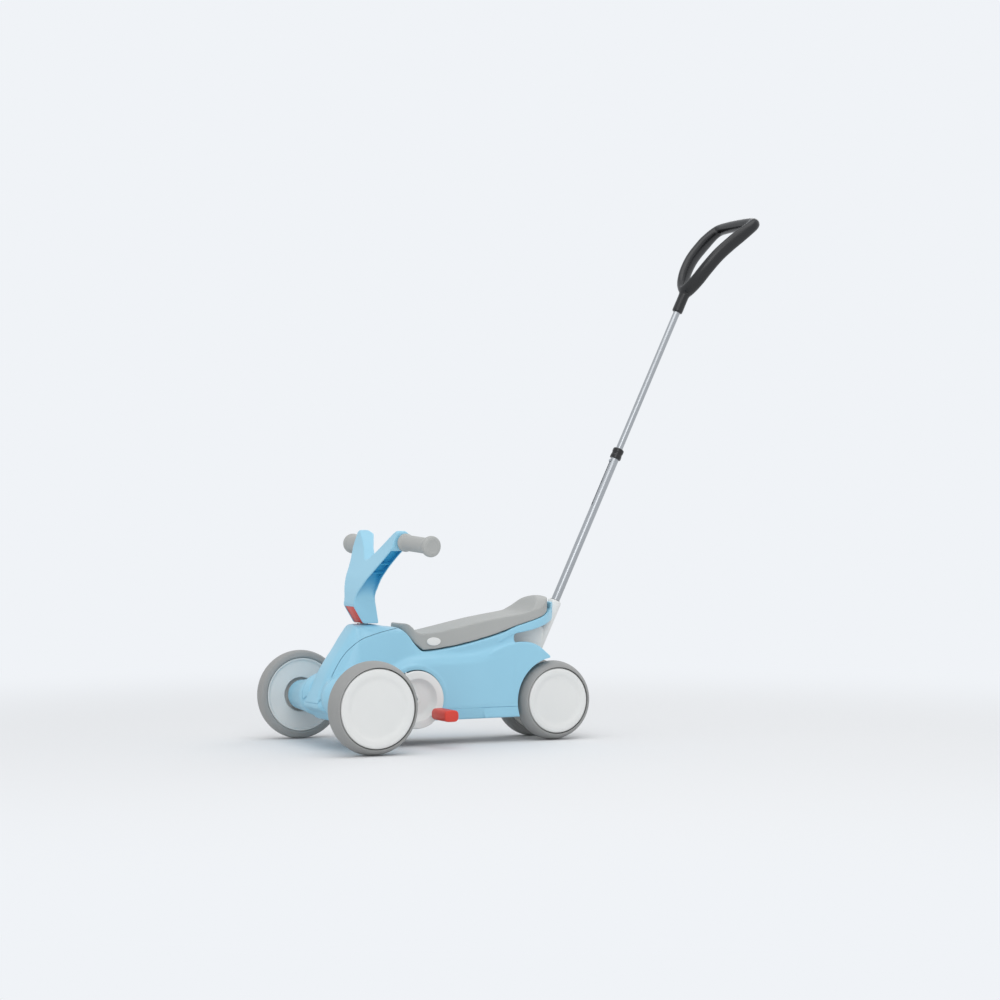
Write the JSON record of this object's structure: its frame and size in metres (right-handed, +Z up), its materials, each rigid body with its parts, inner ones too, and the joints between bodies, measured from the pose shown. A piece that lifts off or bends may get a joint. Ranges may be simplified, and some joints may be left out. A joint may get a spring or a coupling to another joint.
{
  "type": "convertible ride-on toy with push bar",
  "caption": "Child's ride-on on four wheels with a Y-shaped handlebar, linked steering, belt-driven folding pedals, long seat and a telescopic push bar with a loop handle.",
  "frame": {"origin": "middle of the object's box at floor level", "axes": "+X forward, +Y to the rider's left, +Z up"},
  "size_m": [0.9488, 0.4, 1.0037],
  "materials": {
    "blue_shell": "satin moulded",
    "white_plastic": "satin moulded",
    "grey_soft_plastic": "fine grained",
    "grey_tyre": "matt",
    "red_plastic": "satin moulded",
    "black_plastic": "fine grained",
    "dark_frame_plastic": "moulded",
    "steel": "zinc plated",
    "aluminium_tube": "satin anodised",
    "bush_plastic": "moulded",
    "belt_rubber": "moulded"
  },
  "bodies": {
    "body": {"left_body_shell": "blue_shell", "right_body_shell": "blue_shell", "front_cover": "blue_shell", "seat": "grey_soft_plastic", "left_side_oval": "white_plastic", "right_side_oval": "white_plastic", "tail_frame": "white_plastic", "push_bar_socket": "dark_frame_plastic", "chassis_frame": "dark_frame_plastic", "drive_belt": "belt_rubber", "upper_steering_bush": "bush_plastic", "lower_steering_bush": "bush_plastic", "left_crank_bush": "bush_plastic", "right_crank_bush": "bush_plastic", "left_rear_axle_bush": "bush_plastic", "right_rear_axle_bush": "bush_plastic", "left_kingpin": "steel", "right_kingpin": "steel"},
    "steering": {"handlebar": "blue_shell", "stem_trim": "red_plastic", "left_grip": "grey_soft_plastic", "right_grip": "grey_soft_plastic", "steering_column": "steel", "steering_arm": "steel"},
    "track_rod": {"track_rod": "steel"},
    "left_knuckle": {"left_knuckle": "steel", "left_stub_retainer": "steel"},
    "left_front_wheel": {"left_front_tyre": "grey_tyre", "left_front_rim": "white_plastic", "left_front_hub_cap": "white_plastic", "left_front_bush": "bush_plastic"},
    "right_knuckle": {"right_knuckle": "steel", "right_stub_retainer": "steel"},
    "right_front_wheel": {"right_front_tyre": "grey_tyre", "right_front_rim": "white_plastic", "right_front_hub_cap": "white_plastic", "right_front_bush": "bush_plastic"},
    "rear_wheels": {"rear_axle": "steel", "driven_pulley": "dark_frame_plastic", "left_rear_tyre": "grey_tyre", "left_rear_rim": "white_plastic", "left_rear_hub_cap": "white_plastic", "right_rear_tyre": "grey_tyre", "right_rear_rim": "white_plastic", "right_rear_hub_cap": "white_plastic"},
    "crank": {"crank_axle": "steel", "drive_pulley": "dark_frame_plastic", "left_crank_disc": "white_plastic", "left_crank_cap": "white_plastic", "right_crank_disc": "white_plastic", "right_crank_cap": "white_plastic"},
    "left_pedal_spindle": {"left_pedal_spindle": "steel"},
    "left_pedal": {"left_pedal": "red_plastic"},
    "right_pedal_spindle": {"right_pedal_spindle": "steel"},
    "right_pedal": {"right_pedal": "red_plastic"},
    "push_bar_lower": {"lower_tube": "aluminium_tube", "pole_collar": "black_plastic"},
    "push_bar_upper": {"upper_tube": "aluminium_tube", "handle": "black_plastic"},
    "snap_button": {"snap_button": "steel"}
  },
  "joints": [
    {"name": "steering_turn", "type": "hinge", "parent": "body", "child": "steering", "pos_m": [0.33398, 0, 0.2225], "axis": [-0.2079, 0, 0.9781], "range_deg": [-15, 15]},
    {"name": "track_rod_slide", "type": "slide", "parent": "body", "child": "track_rod", "axis": [0, 1, 0], "range_m": [-0.005, 0.005]},
    {"name": "left_kingpin_turn", "type": "hinge", "parent": "body", "child": "left_knuckle", "pos_m": [0.39098, 0.172, 0.083], "axis": [0, 0, 1], "range_deg": [-15.5, 15.5]},
    {"name": "left_front_wheel_spin", "type": "hinge", "parent": "left_knuckle", "child": "left_front_wheel", "pos_m": [0.39098, 0.18, 0.083], "axis": [0, 1, 0], "continuous": true},
    {"name": "right_kingpin_turn", "type": "hinge", "parent": "body", "child": "right_knuckle", "pos_m": [0.39098, -0.172, 0.083], "axis": [0, 0, 1], "range_deg": [-15.5, 15.5]},
    {"name": "right_front_wheel_spin", "type": "hinge", "parent": "right_knuckle", "child": "right_front_wheel", "pos_m": [0.39098, -0.18, 0.083], "axis": [0, 1, 0], "continuous": true},
    {"name": "rear_axle_spin", "type": "hinge", "parent": "body", "child": "rear_wheels", "pos_m": [-0.03202, 0, 0.074], "axis": [0, 1, 0], "continuous": true},
    {"name": "crank_spin", "type": "hinge", "parent": "body", "child": "crank", "pos_m": [0.25758, 0, 0.085], "axis": [0, 1, 0], "continuous": true},
    {"name": "left_pedal_fold", "type": "hinge", "parent": "crank", "child": "left_pedal_spindle", "pos_m": [0.22373, 0.077, 0.06014], "axis": [0.592, 0, -0.8059], "range_deg": [0, 90]},
    {"name": "left_pedal_spin", "type": "hinge", "parent": "left_pedal_spindle", "child": "left_pedal", "pos_m": [0.22373, 0.077, 0.06014], "axis": [0, 1, 0], "continuous": true},
    {"name": "right_pedal_fold", "type": "hinge", "parent": "crank", "child": "right_pedal_spindle", "pos_m": [0.29142, -0.077, 0.10987], "axis": [0.592, 0, -0.8059], "range_deg": [0, 90]},
    {"name": "right_pedal_spin", "type": "hinge", "parent": "right_pedal_spindle", "child": "right_pedal", "pos_m": [0.29142, -0.077, 0.10987], "axis": [0, 1, 0], "continuous": true},
    {"name": "push_bar_lift_out", "type": "slide", "parent": "body", "child": "push_bar_lower", "axis": [-0.4305, 0, 0.9026], "range_m": [0, 0.12]},
    {"name": "push_bar_length", "type": "slide", "parent": "push_bar_lower", "child": "push_bar_upper", "axis": [-0.4305, 0, 0.9026], "range_m": [-0.091, 0]},
    {"name": "snap_button_press", "type": "slide", "parent": "push_bar_upper", "child": "snap_button", "axis": [0.9026, 0, 0.4305], "range_m": [-0.004, 0], "stiffness_N_per_m": 400}
  ],
  "couplings": [
    {"joint": "track_rod_slide", "follows": "steering_turn", "m_per_rad": -0.014},
    {"joint": "left_kingpin_turn", "follows": "steering_turn", "ratio": 1},
    {"joint": "right_kingpin_turn", "follows": "steering_turn", "ratio": 1},
    {"joint": "crank_spin", "follows": "rear_axle_spin", "ratio": 0.6}
  ]
}
